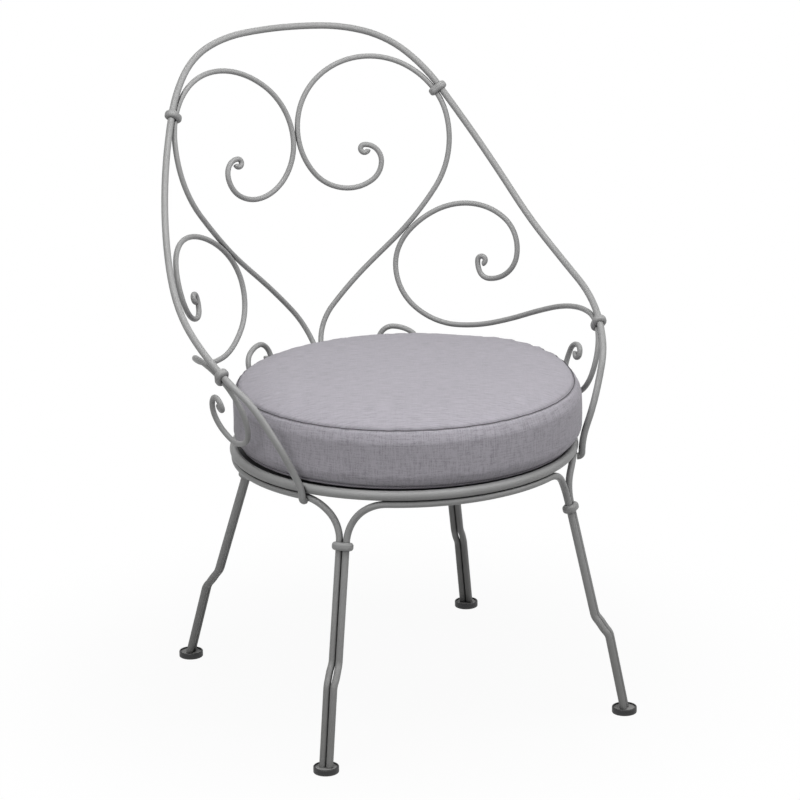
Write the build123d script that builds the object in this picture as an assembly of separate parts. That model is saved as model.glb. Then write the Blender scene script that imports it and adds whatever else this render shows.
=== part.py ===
from build123d import *
import os
from math import asin, ceil, cos, degrees, exp, radians, sin, sqrt

# Millimetres, +Z up, the front of the chair faces -Y.
# Angles run round the seat: 0 is the middle of the back, 90 the +X side, 180 the front.

# Stock
hoop_rod = 10.0
scroll_rod = 8.0
leg_rod = 10.0
ring_tube = 14.0
touch_gap = 0.25

# Seat ring, and the leaning surface that the back is rolled to
ring_radius = 245.0
ring_height = 380.0
crown_height = 924.0
back_slope = 0.278
back_flare = 4.4
back_ease = 25.0
foot_out = 2.0
lumbar_depth = 26.0
lumbar_angle = 27.0
lumbar_rise = 75.0
lumbar_top_share = 61.7
lumbar_fade = 110.0

# Marks of the rods: angle, share of the way up from the seat to the crown in per cent, and heading
# Heading 0 runs level towards larger angles and 90 runs up the slope.

# Outer hoop
shoulder = (18.0, 97.65, -16.0)
top_collar_at = (34.8, 82.08, -52.0)
flank = (46.2, 65.65, -50.0)
arm_start = (66.6, 43.57, -35.3)
elbow_at = (98.2, 26.8, -31.0)
arm_front = (111.2, 17.45, -58.0)
arm_post = (118.7, 3.39, -74.8)
hoop_end_angle = 121.0
hoop_end_bend = 6.0
hoop_end_drop = 4.0

# Heart scroll
heart_eye_top = (16.8, 66.4, 3.5)
heart_volute_side = (20.9, 61.89, -90.0)
heart_volute_base = (12.7, 54.57, -180.0)
heart_touch_share = 70.15
heart_top = (18.4, 90.62, 0.0)
heart_side = (37.5, 66.87, -90.0)
heart_contact = (26.6, 43.5, -132.0)
heart_leg = (17.2, 33.93, -137.0)
heart_pinch_share = 9.15
heart_foot_angle = 12.5
heart_riser = (30.3, 11.03, 90.0)
heart_curl_top = (22.6, 16.04, 180.0)
heart_curl_radius = 21.5
heart_curl_eye_turn = 200.0

# Side scroll
side_eye_start = (47.1, 35.05, -90.0)
side_volute_base = (50.9, 30.26, 0.0)
side_volute_side = (58.7, 37.5, 90.0)
side_top = (43.4, 50.35, 180.0)
side_loop = (23.8, 32.89, -90.0)
side_base = (42.5, 16.94, 0.0)
side_rise = (64.2, 21.82, 22.9)
side_hump = (84.0, 27.45, 5.7)
side_drop = (103.8, 13.5, -97.0)
side_low = (90.6, 5.7, 180.0)
side_riser = (84.2, 12.2, 90.0)
side_riser_out = 5.0
side_curl_top = (88.9, 18.1, 0.0)
side_curl_radius = 12.0
side_curl_eye_turn = 195.0

# Rolled ends of the scrolls
eye_radius = 6.0
eye_turn = 255.0
end_round = 2.0

# Collars
collar_height = 11.5
collar_wall = 5.0
collar_round = 4.4
collar_gap = 0.3

# Legs: the reach is how far each point down a leg stands outside the ring's centre line
front_leg_angle = 134.2
back_leg_angle = 40.5
front_leg_reach = (5.0, 40.4, 63.7, 87.0)
back_leg_reach = (11.0, 61.7, 85.9, 118.0)
leg_collar_drop = 63.25
leg_bend_rise = 5.25
joggle_top = 149.2
joggle_drop = 36.0
joggle_gap = 1.4

# Feet
glide_diameter = 36.0
glide_height = 9.0
glide_floor = 4.0
glide_round = 1.2
plate_diameter = 31.0
plate_thickness = 3.0

# Seat pan
pan_thickness = 2.0
drain_diameter = 16.0
drain_circle = 130.0
drain_count = 6

# Cushion: the insets are from the ring's centre line
cushion_offset = 4.0
seam_inset = 2.0
welt_inset = 9.4
base_inset = 41.0
welt_rise = 8.45
band_height = 83.05
band_bulge = 8.5
crown_rise = 19.0
cloth = 1.4
cloth_gap = 0.2
seam_cord = 2.0
seam_cord_angle = 45.0
welt_cord = 3.6
welt_cord_angle = 25.0
zip_half_angle = 40.0
zip_width = 16.0
zip_thickness = 1.0
slider_size = (9.0, 2.2, 12.0)
slider_round = 2.0
pull_size = (5.0, 1.2, 14.0)
pull_round = 1.5
slider_angle = 30.0

# Fixed by the sizes above
quarter_turn = 90.0
straight = 1e-6
hoop_step = (ring_tube + hoop_rod) / 2 + touch_gap
seat_level = ring_height + (ring_tube + scroll_rod) / 2 + touch_gap
under_level = ring_height - (ring_tube + leg_rod) / 2 - touch_gap


def smooth(value):
    value = min(max(value, 0.0), 1.0)
    return value * value * (3 - 2 * value)


def level(share):
    return seat_level + (crown_height - seat_level) * share / 100


def ease(above):
    """How far the back has come out to its full flare, 0 at the seat and 1 well above it."""
    return 1 - exp(-max(above, 0.0) / back_ease)


def hoop_surface(angle, height):
    above = height - seat_level
    return ring_radius + hoop_step + back_slope * above + back_flare * ease(above)


def scroll_surface(angle, height):
    above = height - seat_level
    flare = (hoop_step + back_flare - foot_out) * ease(above)
    near = max(1 - abs(angle) / lumbar_angle, 0.0)
    fade = smooth((level(lumbar_top_share) - height) / lumbar_fade)
    lumbar = lumbar_depth * near * smooth(above / lumbar_rise) * fade
    return ring_radius + foot_out + back_slope * above + flare + lumbar


def around(angle, radius, height):
    return Vector(radius * sin(radians(angle)), radius * cos(radians(angle)), height)


def surface_axes(angle, height, surface):
    step = 0.02
    left = around(angle - step, surface(angle - step, height), height)
    right = around(angle + step, surface(angle + step, height), height)
    low = around(angle, surface(angle, height - step), height - step)
    high = around(angle, surface(angle, height + step), height + step)
    return (right - left).normalized(), (high - low).normalized()


def mark(place, surface, shift=0.0):
    """Point and direction of a rod at a place on a surface, shifted to the right of its way."""
    angle, share, heading = place
    height = level(share)
    across, upward = surface_axes(angle, height, surface)
    way = (across * cos(radians(heading)) + upward * sin(radians(heading))).normalized()
    side = (across * sin(radians(heading)) - upward * cos(radians(heading))).normalized()
    return around(angle, surface(angle, height), height) + side * shift, way


def turned_way(place, turn, surface):
    """The direction on the surface at a place, turned from its heading."""
    angle, share, heading = place
    return mark((angle, share, heading + turn), surface)[1]


def curl(start, inward, radius, turn):
    """Marks along a flat arc that leaves a mark and bends to the inward side."""
    point, way = start
    side = (inward - way * inward.dot(way)).normalized()
    centre = point + side * radius
    steps = ceil(turn / quarter_turn)
    marks = []
    for i in range(1, steps + 1):
        a = radians(turn * i / steps)
        marks.append((centre + (way * sin(a) - side * cos(a)) * radius, way * cos(a) + side * sin(a)))
    return marks


def eye(place, turn):
    """Marks of the small rolled eye that ends a scroll, out from its mark."""
    point, way = mark(place, scroll_surface)
    return curl((point, way * -1), turned_way(place, turn, scroll_surface), eye_radius, eye_turn)


def hook(place, turn, radius, last_turn):
    """Marks of the curl that ends a scroll beside the seat, from its top."""
    marks = [mark(place, scroll_surface)]
    marks += curl(marks[-1], turned_way(place, turn, scroll_surface), radius, quarter_turn)
    return marks + curl(marks[-1], marks[-2][1] * -1, eye_radius, last_turn)


def back_to_front(marks):
    return [(point, way * -1) for point, way in reversed(marks)]


def mirrored(marks):
    flipped = [(Vector(-p.X, p.Y, p.Z), Vector(-w.X, w.Y, w.Z)) for p, w in marks]
    return back_to_front(flipped)


def bend(start, way, end):
    """One arc that leaves start along way and reaches end, or a line where they are in one row."""
    flat_arc = 1e-4
    chord = (end - start).normalized()
    if way.cross(chord).length < flat_arc:
        return Edge.make_line(start, end)
    return Edge.make_tangent_arc(start, way, end)


def run(marks):
    """A smooth path through the marks, two tangent arcs between each mark and the next."""
    edges = []
    for (p0, w0), (p1, w1) in zip(marks[:-1], marks[1:]):
        v = p1 - p0
        a = 2 * (1 - w0.dot(w1))
        b = 2 * v.dot(w0 + w1)
        c = v.dot(v)
        reach = c / b if a < straight ** 2 else (-b + sqrt(b * b + 4 * a * c)) / (2 * a)
        q0 = p0 + w0 * reach
        q1 = p1 - w1 * reach
        middle = (q0 + q1) * 0.5
        off_line = max((q1 - q0).cross(v).length, w0.cross(v).length)
        if off_line < straight * v.length:
            edges.append(Edge.make_line(p0, p1))
            continue
        edges.append(bend(p0, w0, middle))
        edges.append(bend(middle, (q1 - q0).normalized(), p1))
    return Wire(edges)


def rod(marks, diameter, rounded=0.0):
    path = run(marks)
    point, way = marks[0]
    body = sweep(Plane(origin=point, z_dir=way) * Circle(diameter / 2), path=path).solid()
    if rounded:
        flats = body.faces().filter_by(GeomType.PLANE)
        body = fillet(flats.edges(), rounded).solid()
    return body


def collar(first, second, d_first, d_second, way):
    """A half-round band round two rods that lie side by side."""
    reach = (second - first).length
    frame = Plane(origin=first, x_dir=(second - first).normalized(), z_dir=way)

    def band(extra):
        near = Circle(d_first / 2 + extra)
        far = Pos(reach, 0) * Circle(d_second / 2 + extra)
        return make_hull((near.edges() + far.edges()))

    outer = extrude(band(collar_gap + collar_wall), collar_height / 2, both=True)
    outer = fillet(outer.faces().filter_by(Axis.Z).edges(), collar_round)
    inner = extrude(band(collar_gap), collar_height, both=True)
    return (frame * (outer - inner)).solid()


def upright(diameter, height):
    """A cylinder that stands on the level it is placed at."""
    return Cylinder(diameter / 2, height, align=(Align.CENTER, Align.CENTER, Align.MIN))


parts = {}


def pair(name, solid):
    parts[name + "_right"] = solid
    parts[name + "_left"] = mirror(solid, about=Plane.YZ).solid()


# Outer hoop
ring_side = ring_radius + hoop_step
bend_start = ring_side - hoop_end_bend
leg_flank = ring_radius + leg_rod / 2 + touch_gap
hoop_end_level = under_level - hoop_end_drop
inward = around(hoop_end_angle, -1.0, 0.0)
drop = Vector(0, 0, -1)
hoop_half = [
    mark((0.0, 100.0, 0.0), hoop_surface),
    mark(shoulder, hoop_surface),
    mark(top_collar_at, hoop_surface),
    mark(flank, hoop_surface),
    mark(arm_start, hoop_surface),
    mark(elbow_at, hoop_surface),
    mark(arm_front, hoop_surface),
    mark(arm_post, hoop_surface),
    (around(hoop_end_angle, ring_side, hoop_end_level + hoop_end_bend), drop),
    (around(hoop_end_angle, bend_start, hoop_end_level), inward),
    (around(hoop_end_angle, leg_flank, hoop_end_level), inward),
]
parts["outer_hoop"] = rod(mirrored(hoop_half[1:]) + hoop_half, hoop_rod)

# Heart scrolls
beside_hoop = (hoop_rod + scroll_rod) / 2 + touch_gap
half_touch = (scroll_rod + touch_gap) / 2


def middle_mark(share, heading):
    """Mark where the two heart scrolls run side by side in the middle of the back."""
    angle = degrees(asin(half_touch / scroll_surface(0.0, level(share))))
    return mark((angle, share, heading), scroll_surface)


heart_collar = mark(top_collar_at, hoop_surface, beside_hoop)
heart_marks = back_to_front(eye(heart_eye_top, -quarter_turn)) + [
    mark(heart_eye_top, scroll_surface),
    mark(heart_volute_side, scroll_surface),
    mark(heart_volute_base, scroll_surface),
    middle_mark(heart_touch_share, quarter_turn),
    mark(heart_top, scroll_surface),
    heart_collar,
    mark(heart_side, scroll_surface),
    mark(heart_contact, scroll_surface),
    mark(heart_leg, scroll_surface),
    middle_mark(heart_pinch_share, -quarter_turn),
    mark((heart_foot_angle, 0.0, 0.0), scroll_surface),
    mark(heart_riser, scroll_surface),
] + hook(heart_curl_top, quarter_turn, heart_curl_radius, heart_curl_eye_turn)
pair("heart_scroll", rod(heart_marks, scroll_rod, end_round))

# Side scrolls
def riser_surface(angle, height):
    return scroll_surface(angle, height) + side_riser_out


side_collar = mark(elbow_at, hoop_surface, beside_hoop)
side_contact = mark(heart_contact, scroll_surface, -(scroll_rod + touch_gap))
side_marks = back_to_front(eye(side_eye_start, quarter_turn)) + [
    mark(side_eye_start, scroll_surface),
    mark(side_volute_base, scroll_surface),
    mark(side_volute_side, scroll_surface),
    mark(side_top, scroll_surface),
    side_contact,
    mark(side_loop, scroll_surface),
    mark(side_base, scroll_surface),
    mark(side_rise, scroll_surface),
    mark(side_hump, scroll_surface),
    side_collar,
    mark(side_drop, scroll_surface),
    mark(side_low, scroll_surface),
    mark(side_riser, riser_surface),
] + hook(side_curl_top, -quarter_turn, side_curl_radius, side_curl_eye_turn)
pair("side_scroll", rod(side_marks, scroll_rod, end_round))

# Collars on the hoop
for name, place, scroll in (
    ("top_collar", top_collar_at, heart_collar),
    ("elbow_collar", elbow_at, side_collar),
):
    point, way = mark(place, hoop_surface)
    pair(name, collar(point, scroll[0], hoop_rod, scroll_rod, way))

# Seat ring and pan
parts["seat_ring"] = (Pos(0, 0, ring_height) * Torus(ring_radius, ring_tube / 2)).solid()
pan_radius = ring_radius - ring_tube / 2 - touch_gap
pan = Cylinder(pan_radius, pan_thickness) - Cylinder(drain_diameter / 2, 2 * pan_thickness)
for place in PolarLocations(drain_circle, drain_count):
    pan = pan - place * Cylinder(drain_diameter / 2, 2 * pan_thickness)
parts["seat_pan"] = (Pos(0, 0, ring_height) * pan).solid()

# Leg hoops
plate_top = glide_floor + touch_gap + plate_thickness
rod_base = plate_top + touch_gap
half_pair = (leg_rod + touch_gap) / 2
leg_bend = leg_collar_drop - leg_bend_rise
leg_levels = (under_level - leg_collar_drop, joggle_top, joggle_top - joggle_drop, 0.0)
legs = {
    "front_right": (front_leg_angle, front_leg_reach),
    "back_right": (back_leg_angle, back_leg_reach),
    "back_left": (-back_leg_angle, back_leg_reach),
    "front_left": (-front_leg_angle, front_leg_reach),
}


def leg_frame(leg):
    """Points down the middle of a leg, its upper and lower directions, and the way round the ring."""
    angle, reaches = legs[leg]
    points = [around(angle, ring_radius + reach, height) for reach, height in zip(reaches, leg_levels)]
    upper = (points[0] - points[1]).normalized()
    lower = (points[2] - points[3]).normalized()
    return points, upper, lower, around(angle + quarter_turn, 1.0, 0.0)


def leg_marks(leg, turn):
    """Marks of one rod from the floor up its leg and round to the underside of the ring, turn 1 or -1."""
    points, upper, lower, round_way = leg_frame(leg)
    offset = round_way * (turn * half_pair)
    bowed = round_way * (turn * (half_pair + joggle_gap / 2))
    top_point = points[0] + upper * (leg_bend_rise / upper.Z)
    ring_angle = legs[leg][0] + turn * degrees((leg_bend + half_pair) / ring_radius)
    ring_way = around(ring_angle + quarter_turn, float(turn), 0.0)
    below = points[3] - lower * glide_height
    return [
        (below + offset, lower),
        (points[2] + offset, lower),
        ((points[1] + points[2]) * 0.5 + bowed, (points[1] - points[2]).normalized()),
        (points[1] + offset, upper),
        (points[0] + offset, upper),
        (top_point + offset, upper),
        (around(ring_angle, ring_radius, under_level), ring_way),
    ]


floor_side = 4 * ring_radius
floor_box = Box(floor_side, floor_side, 4 * glide_height, align=(Align.CENTER, Align.CENTER, Align.MAX))
floor_cut = Pos(0, 0, rod_base) * floor_box


def leg_hoop(start, end, turn):
    marks = leg_marks(start, turn) + back_to_front(leg_marks(end, -turn))
    return (rod(marks, leg_rod) - floor_cut).solid()


parts["leg_hoop_right"] = leg_hoop("back_right", "front_right", 1)
parts["leg_hoop_left"] = mirror(parts["leg_hoop_right"], about=Plane.YZ).solid()
parts["leg_hoop_back"] = leg_hoop("back_left", "back_right", 1)
parts["leg_hoop_front"] = leg_hoop("front_left", "front_right", -1)

# Leg collars, foot plates and glides
for leg in legs:
    points, upper, lower, round_way = leg_frame(leg)
    a = points[0] - round_way * half_pair
    b = points[0] + round_way * half_pair
    parts["leg_collar_" + leg] = collar(a, b, leg_rod, leg_rod, upper)
    foot = points[3] + lower * (plate_top / lower.Z)
    base = Pos(foot.X, foot.Y, 0)
    plate = base * Pos(0, 0, glide_floor + touch_gap) * upright(plate_diameter, plate_thickness)
    parts["foot_plate_" + leg] = plate.solid()
    cup = upright(glide_diameter, glide_height)
    cup = fillet(cup.edges().filter_by(GeomType.CIRCLE), glide_round)
    hollow = Pos(0, 0, glide_floor) * upright(plate_diameter + 2 * touch_gap, glide_height)
    parts["glide_" + leg] = (base * (cup - hollow)).solid()

# Cushion, from a section turned about the ring's axis
seam_radius = ring_radius - seam_inset
welt_radius = ring_radius - welt_inset
base_flat_radius = ring_radius - base_inset
pan_top = ring_height + pan_thickness / 2
base_level = pan_top + touch_gap
welt_height = pan_top + welt_rise
seam_height = welt_height + band_height
mid_level = (seam_height + welt_height) / 2
bulge_radius = seam_radius + band_bulge
foam_inset = cloth + cloth_gap


def top_arc(inset):
    """The crown of the cushion, a part of a sphere whose middle is on the axis."""
    edge_radius = seam_radius - inset
    edge_level = seam_height + cloth_gap - inset
    sphere = (edge_radius ** 2 + crown_rise ** 2) / (2 * crown_rise)
    half = asin(edge_radius / sphere) / 2
    middle = (sphere * sin(half), 0, edge_level + crown_rise - sphere * (1 - cos(half)))
    return ThreePointArc((edge_radius, 0, edge_level), middle, (0, 0, edge_level + crown_rise)).edge()


def band_middle(end_radius, end_level, inset):
    """Middle point of the arc that is upright at the band's widest level and runs to an end."""
    reach = bulge_radius - inset - end_radius
    rise = end_level - mid_level
    arc_radius = (reach ** 2 + rise ** 2) / (2 * reach)
    half = asin(rise / arc_radius) / 2
    return bulge_radius - inset - arc_radius * (1 - cos(half)), 0, mid_level + arc_radius * sin(half)


def band_run(inset):
    low = (welt_radius - inset, 0, welt_height + inset + cloth_gap)
    high = (seam_radius - inset, 0, seam_height - inset)
    widest = (bulge_radius - inset, 0, mid_level)
    lower = ThreePointArc(low, band_middle(low[0], low[2], inset), widest)
    upper = ThreePointArc(widest, band_middle(high[0], high[2], inset), high)
    return lower.edge(), upper.edge()


def base_run(inset):
    height = base_level + inset
    turn_up = (base_flat_radius, 0, height)
    flat = Line((0, 0, height), turn_up).edge()
    rise = TangentArc(turn_up, (welt_radius - inset, 0, welt_height + inset), tangent=(1, 0, 0))
    return flat, rise.edge()


def join(start, end):
    return Line(start, end).edge()


def turned(edges):
    return revolve(make_face(edges), Axis.Z).solid()


def skin(outer, inner):
    """A sheet of cloth between two runs of edges that start and end at the same sides."""
    caps = [join(outer[0] @ 0, inner[0] @ 0), join(outer[-1] @ 1, inner[-1] @ 1)]
    return turned(list(outer) + list(inner) + caps)


foam_band = band_run(foam_inset)
foam_base = base_run(foam_inset)
foam_top = top_arc(foam_inset)
foam_edges = list(foam_base) + [join(foam_base[-1] @ 1, foam_band[0] @ 0)] + list(foam_band)
foam_edges += [join(foam_band[-1] @ 1, foam_top @ 0), foam_top, join(foam_top @ 1, foam_base[0] @ 0)]
parts["cushion_foam"] = turned(foam_edges)
parts["cushion_top_panel"] = skin([top_arc(0.0)], [top_arc(cloth)])
parts["cushion_band"] = skin(band_run(0.0), band_run(cloth))
parts["cushion_base_panel"] = skin(base_run(0.0), base_run(cloth))


def edge_cord(radius, height, diameter, angle):
    """A cord along an edge of the cover, out from the edge at an angle above level."""
    out = diameter / 2 + cloth_gap
    ring = Torus(radius + out * cos(radians(angle)), diameter / 2)
    return (Pos(0, 0, height + out * sin(radians(angle))) * ring).solid()


parts["cushion_top_seam"] = edge_cord(seam_radius, seam_height + cloth_gap, seam_cord, seam_cord_angle)
parts["cushion_base_welt"] = edge_cord(welt_radius, welt_height, welt_cord, -welt_cord_angle)

# Zip in the band at the back and its slider
tape_inner = bulge_radius + cloth_gap
tape_place = Pos(tape_inner + zip_thickness / 2, 0, mid_level) * Rot(quarter_turn, 0, 0)
tape = revolve(tape_place * Rectangle(zip_thickness, zip_width), Axis.Z, 2 * zip_half_angle)
parts["cushion_zip"] = (Rot(0, 0, quarter_turn - zip_half_angle) * tape).solid()
slider_wide, slider_thick, slider_tall = slider_size
slider_radius = tape_inner + zip_thickness + cloth_gap
slider = Pos(slider_radius + slider_thick / 2, 0, 0) * Box(slider_thick, slider_wide, slider_tall)
slider = fillet(slider.edges().filter_by(Axis.X), slider_round)
pull_wide, pull_thick, pull_long = pull_size
pull = Box(pull_thick, pull_wide, pull_long, align=(Align.MIN, Align.CENTER, Align.MAX))
pull = fillet(pull.edges().filter_by(Axis.X), pull_round)
pull = Pos(slider_radius + slider_thick, 0, -slider_tall / 4) * pull
slider_place = Pos(0, 0, mid_level) * Rot(0, 0, quarter_turn - slider_angle)
parts["cushion_zip_slider"] = (slider_place * (slider + pull)).solid()

# The loose cushion lies a little to one side
for name in parts:
    if name.startswith("cushion"):
        parts[name] = (Pos(cushion_offset, 0, 0) * parts[name]).solid()

# One frame for all: the origin under the middle of the whole box, on the floor
box = Compound(children=[Compound(s.wrapped) for s in parts.values()]).bounding_box()
shift = Pos(0, -(box.min.Y + box.max.Y) / 2, 0)
os.makedirs("parts", exist_ok=True)
for name, solid in parts.items():
    moved = shift * solid
    moved.label = name
    export_step(moved, "parts/" + name + ".step")
print("shift", shift.position.Y, "size", box.size)
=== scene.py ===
"""Garden armchair: the finish of its bent rod frame and its loose round cushion."""

import math

import bmesh
import bpy
import numpy as np
from bpy.props import FloatProperty, FloatVectorProperty, IntProperty, PointerProperty
from mathutils import Matrix, Vector
from mathutils.bvhtree import BVHTree


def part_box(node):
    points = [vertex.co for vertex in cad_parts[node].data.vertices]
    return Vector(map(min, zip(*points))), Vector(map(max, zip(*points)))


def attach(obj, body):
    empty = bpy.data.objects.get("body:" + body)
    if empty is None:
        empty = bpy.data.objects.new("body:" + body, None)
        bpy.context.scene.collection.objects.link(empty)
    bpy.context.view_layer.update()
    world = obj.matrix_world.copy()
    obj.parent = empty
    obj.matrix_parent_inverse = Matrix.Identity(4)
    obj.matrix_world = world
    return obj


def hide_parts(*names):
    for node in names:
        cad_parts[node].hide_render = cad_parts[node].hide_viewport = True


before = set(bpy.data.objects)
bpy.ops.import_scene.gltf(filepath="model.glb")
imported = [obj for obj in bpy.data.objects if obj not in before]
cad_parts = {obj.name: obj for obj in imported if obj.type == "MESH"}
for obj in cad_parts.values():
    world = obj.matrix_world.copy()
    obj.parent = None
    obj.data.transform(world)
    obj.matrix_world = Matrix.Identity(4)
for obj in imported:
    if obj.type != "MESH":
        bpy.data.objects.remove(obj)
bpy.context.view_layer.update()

bl_info = {
    "name": "Garden armchair finish",
    "version": (1, 0, 0),
    "blender": (4, 5, 0),
    "location": "View3D > Sidebar > Armchair",
    "description": "Powder coat for the rod frame, a sewn cushion and a studio",
    "category": "Object",
}

# Nodes of the frame by finish
PAINTED = (
    "outer_hoop", "heart_scroll", "side_scroll", "top_collar", "elbow_collar",
    "seat_ring", "leg_hoop", "leg_collar",
)
CORNERS = ("front_left", "front_right", "back_left", "back_right")

# Paint: heights in metres at which it changes, and steps of its noises per metre
SCRAPED_BELOW = 0.004
DUST_AND_SHADE_BELOW = 0.30
COARSE_BELOW = 0.40
SMOOTH_ABOVE = 0.60
CLOUD_SCALE = 14.0
SCUFF_SCALE = 62.0

# Cloth: steps of its noises per metre along and across the threads, and a depth that sets them apart
WEFT = (48.0, 540.0, 0.0)
WARP = (560.0, 60.0, 3.7)
FLECK = (520.0, 560.0, 8.1)
FADING = (7.0, 9.0, 1.3)
CORD_FLECK = (300.0, 500.0, 2.2)
WEAVE_TURN = math.radians(-25.0)

# Slubs by panel: shares of weft, warp and fleck, their contrast, and the share of dark yarn
SLUBS = {
    "flat": ((0.70, 0.14, 0.16), 2.4, 0.18),
    "band": ((0.34, 0.36, 0.30), 4.6, 0.20),
}

# Twists of the narrow cloths, in metres
THREAD_TWIST = 0.0035
WELT_TWIST = 0.0042
TAPE_TWIST = 0.0016
TOOTH_TWIST = 0.0011

# Lamps: name, place and width in metres, power in watts
AIM = Vector((0.0, -0.1, 0.5))
LAMPS = (
    ("lamp_over", (-0.2, -0.4, 2.9), 1.8, 20.0),
    ("lamp_near_left", (-0.85, -0.45, 2.2), 0.55, 8.0),
    ("lamp_near_right", (0.35, -1.05, 2.2), 0.55, 8.0),
    ("lamp_left", (-1.9, -1.6, 1.9), 1.3, 20.0),
    ("lamp_right", (1.8, -1.4, 2.0), 1.2, 22.5),
)
WHITE = (1.0, 1.0, 1.0, 1.0)
FLOOR_MIDDLE = Vector((0.0, -0.06, -0.0002))
FLOOR_RADIUS = 7.0
FLOOR_SIDES = 96

# Seam and crease of the cover, in metres from the solids' own
SEAM_RAISE = 0.0012
CREASE_OUT = 0.0010
CREASE_GAP = 0.0002

# Sizes that the cushion takes from the solids, in metres
SEAM_LOW, SEAM_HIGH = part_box("cushion_top_seam")
WELT_LOW, WELT_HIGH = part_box("cushion_base_welt")
BAND_LOW, BAND_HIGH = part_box("cushion_band")
TOP_LOW, TOP_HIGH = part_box("cushion_top_panel")
ZIP_LOW, ZIP_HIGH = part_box("cushion_zip")
AXIS = (SEAM_LOW + SEAM_HIGH) / 2
SEAM_CORD = (SEAM_HIGH.z - SEAM_LOW.z) / 2
WELT_CORD = (WELT_HIGH.z - WELT_LOW.z) / 2
SEAM_RADIUS = (TOP_HIGH.x - TOP_LOW.x) / 2
SEAM_LEVEL = TOP_LOW.z + SEAM_RAISE
WELT_RADIUS = (WELT_HIGH.x - WELT_LOW.x) / 2 - WELT_CORD
WELT_LEVEL = (WELT_HIGH.z + WELT_LOW.z) / 2
CREASE_RADIUS = WELT_RADIUS + CREASE_OUT
CREASE_LEVEL = WELT_LEVEL + WELT_CORD + CREASE_GAP
BULGE_RADIUS = (BAND_HIGH.x - BAND_LOW.x) / 2
CROWN_LEVEL = TOP_HIGH.z
BASE_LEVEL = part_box("cushion_base_panel")[0].z
ZIP_LEVEL = (ZIP_HIGH.z + ZIP_LOW.z) / 2
ZIP_RADIUS = ZIP_HIGH.y - AXIS.y
ZIP_HALF = math.asin((ZIP_HIGH.x - ZIP_LOW.x) / 2 / ZIP_RADIUS)

# Section of the cover, in metres: where it puffs up, rolls in and turns under
HUB_RADIUS = 0.012
SHOULDER_RUN = 0.011
LIP_RUN = 0.0045
BASE_TURN = 0.026
WELT_TUCK = 0.0025
EDGE_STEP = 0.0012
EDGE_WIDTH = 0.06

# Steps of that section, as it is shown and as it is pressed
SHOWN = {"base": 10, "turn": 9, "band": 36, "edge": 18, "crown": 24}
PRESSED = {"base": 8, "turn": 4, "band": 14, "edge": 6, "crown": 20}
BASE_PANEL, BAND_PANEL, TOP_PANEL = range(3)

# Pressing of the cover, in metres and frames
PRESS_SEGMENTS = 96
PRESS_VOXEL = 0.006
PRESS_FRAMES = 20
SEWN_WIDTH = 0.004
SEWN_FADE = 0.010
BAND_BELOW = 0.002
BAND_ROOM = -0.0004
TOP_ROOM = 0.004

# Gathers and filling: start, rise, stop and fall, in radians from the back towards the right
GATHERED = (0.55, 0.35, 1.75, 0.35)
FULLEST = (0.80, 0.45, 2.15, 0.60)
GATHER_REST = 0.22

# Reach of the dip, the gathers and the filling from the top seam, in metres
DIP_WIDTH = 0.0030
GATHER_WIDTH = 0.016
FULL_WIDTH = 0.055
FULL_DEPTH = 0.045
DIP_LOWEST = -0.0005

# Shares of the gathers and of the dip that the panels and the thread take
GATHER_OUT = 0.35
PANEL_LIFT = 0.6
PANEL_IN = 0.7
PANEL_DOWN = 0.5
THREAD_LIFT = 0.5
THREAD_IN = 0.2

# Seam thread and welt: shares of the solids' cords, sides, and the thread's flatness
THREAD_SIZE = 0.72
THREAD_SIDES = 8
THREAD_FLAT = 0.8
WELT_SIZE = 0.97
WELT_SIDES = 12

# Lean of the loose cushion: its way, and its shift in metres by the height in the band
LEAN_WAY = np.array((0.904, -0.427, 0.0))
LEAN_FOOT = 0.0007
LEAN_RISE = 0.0091
LEAN_RETURN = 0.0094

# Room for the heart scrolls' feet, in metres and in radians from the back
FOOT_RADIUS = 0.2413
FOOT_LEVEL = 0.395
FOOT_SLOPE = 0.58
FOOT_HALF = 0.66
FOOT_FADE = 0.14

# Zip, in metres. A tooth's outline has shares of its half width, and heights
TAPE_STEPS = 120
TAPE_SINK = 0.0009
TAPE_GAP = 0.0006
TAPE_FACE = 0.0006
TAPE_EDGE = 0.0002
TAPE_BACK = 0.0004
TAPE_ROLL = 0.0012
TOOTH_PITCH = 0.0026
TOOTH_HALF = 0.0010
TOOTH_SINK = 0.0005
TOOTH_RISE = 0.0001
TOOTH_OUTLINE = ((-1.0, -0.0019), (1.0, -0.0019), (0.7, 0.0014), (0.0, 0.0019), (-0.7, 0.0014))


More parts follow.
